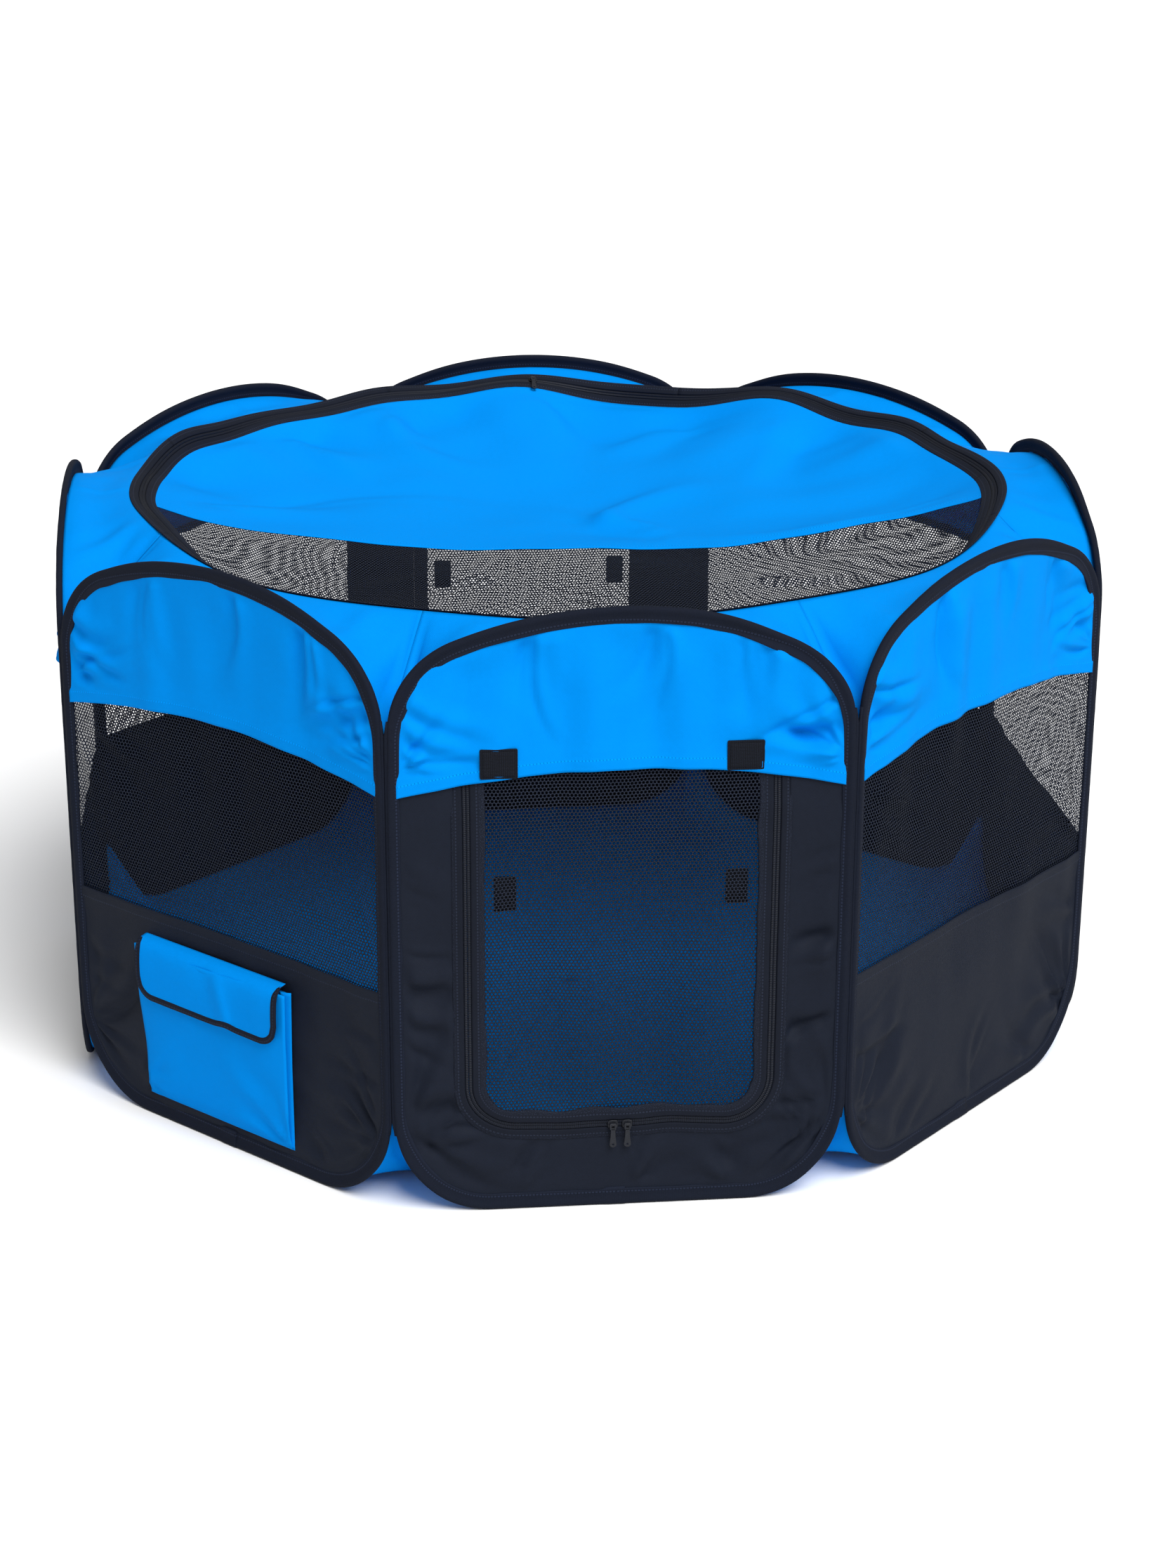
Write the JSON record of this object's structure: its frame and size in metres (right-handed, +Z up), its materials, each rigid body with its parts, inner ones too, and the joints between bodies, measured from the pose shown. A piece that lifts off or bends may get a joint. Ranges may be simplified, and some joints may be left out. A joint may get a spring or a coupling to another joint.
{
  "type": "pet playpen",
  "caption": "Folding eight-sided fabric playpen with netting windows, zipped door flaps, zip-off round roof, sewn floor and an outside flap pocket.",
  "frame": {"origin": "middle of the floor, on the ground", "axes": "+Z up; the front door wall faces -Y; +X is to the right of someone facing the front door"},
  "size_m": [1.064, 1.0728, 0.607],
  "materials": {
    "blue_cloth": "matte coated woven cloth",
    "black_cloth": "matte woven cloth",
    "netting": "knitted netting, see-through",
    "binding": "woven binding tape",
    "zip": "satin moulded plastic and woven tape",
    "hook_pad": "hook-and-loop",
    "steel": "spring steel wire"
  },
  "bodies": {
    "panel_front": {"hoop_front": "steel", "sleeve_front": "binding", "upper_band_front": "blue_cloth", "door_surround_front": "black_cloth", "band_pads_front": "hook_pad", "floor": "blue_cloth", "roof_collar": "blue_cloth"},
    "panel_front_right": {"hoop_front_right": "steel", "sleeve_front_right": "binding", "upper_band_front_right": "blue_cloth", "window_front_right": "netting", "lower_band_front_right": "black_cloth"},
    "panel_right": {"hoop_right": "steel", "sleeve_right": "binding", "upper_band_right": "blue_cloth", "window_right": "netting", "lower_band_right": "black_cloth"},
    "panel_back_right": {"hoop_back_right": "steel", "sleeve_back_right": "binding", "upper_band_back_right": "blue_cloth", "window_back_right": "netting", "lower_band_back_right": "black_cloth"},
    "panel_back": {"hoop_back": "steel", "sleeve_back": "binding", "upper_band_back": "blue_cloth", "door_surround_back": "black_cloth"},
    "panel_back_left": {"hoop_back_left": "steel", "sleeve_back_left": "binding", "upper_band_back_left": "blue_cloth", "window_back_left": "netting", "lower_band_back_left": "black_cloth"},
    "panel_left": {"hoop_left": "steel", "sleeve_left": "binding", "upper_band_left": "blue_cloth", "window_left": "netting", "lower_band_left": "black_cloth"},
    "panel_front_left": {"hoop_front_left": "steel", "sleeve_front_left": "binding", "upper_band_front_left": "blue_cloth", "window_front_left": "netting", "lower_band_front_left": "black_cloth", "pocket_body": "blue_cloth"},
    "door_front": {"door_mesh_front": "netting", "door_tape_front": "zip", "door_pads_front": "hook_pad"},
    "slider_front_left": {"slider_front_left": "zip"},
    "slider_front_right": {"slider_front_right": "zip"},
    "door_back": {"door_mesh_back": "netting", "door_tape_back": "zip", "door_pads_back": "hook_pad"},
    "slider_back_left": {"slider_back_left": "zip"},
    "slider_back_right": {"slider_back_right": "zip"},
    "pull_front_left": {"pull_front_left": "zip"},
    "pull_front_right": {"pull_front_right": "zip"},
    "pocket_flap": {"pocket_flap": "blue_cloth"},
    "roof_ring": {"roof_tape_outer": "zip"},
    "roof_cover": {"roof_cloth": "blue_cloth", "roof_mesh": "netting", "roof_tape_inner": "zip"},
    "roof_slider": {"roof_slider": "zip"}
  },
  "joints": [
    {"name": "fold", "type": "hinge", "parent": "panel_front", "child": "panel_front_right", "pos_m": [0.21703, -0.52396, 0.3], "axis": [0, 0, 1], "range_deg": [0, 135], "deforming": ["floor", "roof_collar", "roof_tape_outer", "roof_tape_inner", "roof_cloth", "roof_mesh"]},
    {"name": "fold_right", "type": "hinge", "parent": "panel_front_right", "child": "panel_right", "pos_m": [0.53296, -0.22076, 0.3], "axis": [0, 0, 1], "range_deg": [-225, 0]},
    {"name": "fold_back_right", "type": "hinge", "parent": "panel_right", "child": "panel_back_right", "pos_m": [0.52396, 0.21703, 0.3], "axis": [0, 0, 1], "range_deg": [0, 135]},
    {"name": "fold_back", "type": "hinge", "parent": "panel_back_right", "child": "panel_back", "pos_m": [0.21889, 0.52846, 0.3], "axis": [0, 0, 1], "range_deg": [-45, 0]},
    {"name": "fold_front_left", "type": "hinge", "parent": "panel_front", "child": "panel_front_left", "pos_m": [-0.21889, -0.52846, 0.3], "axis": [0, 0, 1], "range_deg": [0, 45]},
    {"name": "fold_left", "type": "hinge", "parent": "panel_front_left", "child": "panel_left", "pos_m": [-0.52396, -0.21703, 0.3], "axis": [0, 0, 1], "range_deg": [-135, 0]},
    {"name": "fold_back_left", "type": "hinge", "parent": "panel_left", "child": "panel_back_left", "pos_m": [-0.53296, 0.22076, 0.3], "axis": [0, 0, 1], "range_deg": [0, 225]},
    {"name": "roof_follow", "type": "slide", "parent": "panel_front", "child": "roof_ring", "axis": [-0.3857, -0.9073, -0.1674], "range_m": [0, 0.56756]},
    {"name": "roof_lift", "type": "slide", "parent": "roof_ring", "child": "roof_cover", "axis": [0, 0, 1], "range_m": [0, 0.25]},
    {"name": "roof_zip", "type": "hinge", "parent": "roof_ring", "child": "roof_slider", "pos_m": [0, 0, 0.588], "axis": [0, 0, 1], "range_deg": [0, 350]},
    {"name": "door_front_swing", "type": "hinge", "parent": "panel_front", "child": "door_front", "pos_m": [0, -0.53046, 0.449], "axis": [-1, 0, 0], "range_deg": [0, 155]},
    {"name": "zip_front_left", "type": "slide", "parent": "panel_front", "child": "slider_front_left", "axis": [1, 0, 0], "range_m": [-0.088, 0]},
    {"name": "zip_front_right", "type": "slide", "parent": "panel_front", "child": "slider_front_right", "axis": [1, 0, 0], "range_m": [0, 0.088]},
    {"name": "door_back_swing", "type": "hinge", "parent": "panel_back", "child": "door_back", "pos_m": [0, 0.53046, 0.449], "axis": [1, 0, 0], "range_deg": [0, 155]},
    {"name": "zip_back_left", "type": "slide", "parent": "panel_back", "child": "slider_back_left", "axis": [-1, 0, 0], "range_m": [-0.088, 0]},
    {"name": "zip_back_right", "type": "slide", "parent": "panel_back", "child": "slider_back_right", "axis": [-1, 0, 0], "range_m": [0, 0.088]},
    {"name": "pull_front_left_swing", "type": "hinge", "parent": "slider_front_left", "child": "pull_front_left", "pos_m": [-0.007, -0.53421, 0.087], "axis": [-1, 0, 0], "range_deg": [0, 170]},
    {"name": "pull_front_right_swing", "type": "hinge", "parent": "slider_front_right", "child": "pull_front_right", "pos_m": [0.007, -0.53421, 0.087], "axis": [-1, 0, 0], "range_deg": [0, 170]},
    {"name": "pocket_flap_swing", "type": "hinge", "parent": "panel_front_left", "child": "pocket_flap", "pos_m": [-0.38552, -0.36431, 0.20135], "axis": [-0.7071, 0.7071, 0], "range_deg": [0, 90]}
  ],
  "couplings": [
    {"joint": "fold_right", "follows": "fold", "ratio": -1.6667},
    {"joint": "fold_back_right", "follows": "fold", "ratio": 1},
    {"joint": "fold_back", "follows": "fold", "ratio": -0.33333},
    {"joint": "fold_front_left", "follows": "fold", "ratio": 0.33333},
    {"joint": "fold_left", "follows": "fold", "ratio": -1},
    {"joint": "fold_back_left", "follows": "fold", "ratio": 1.6667},
    {"joint": "roof_follow", "follows": "fold", "m_per_rad": 0.24088}
  ]
}
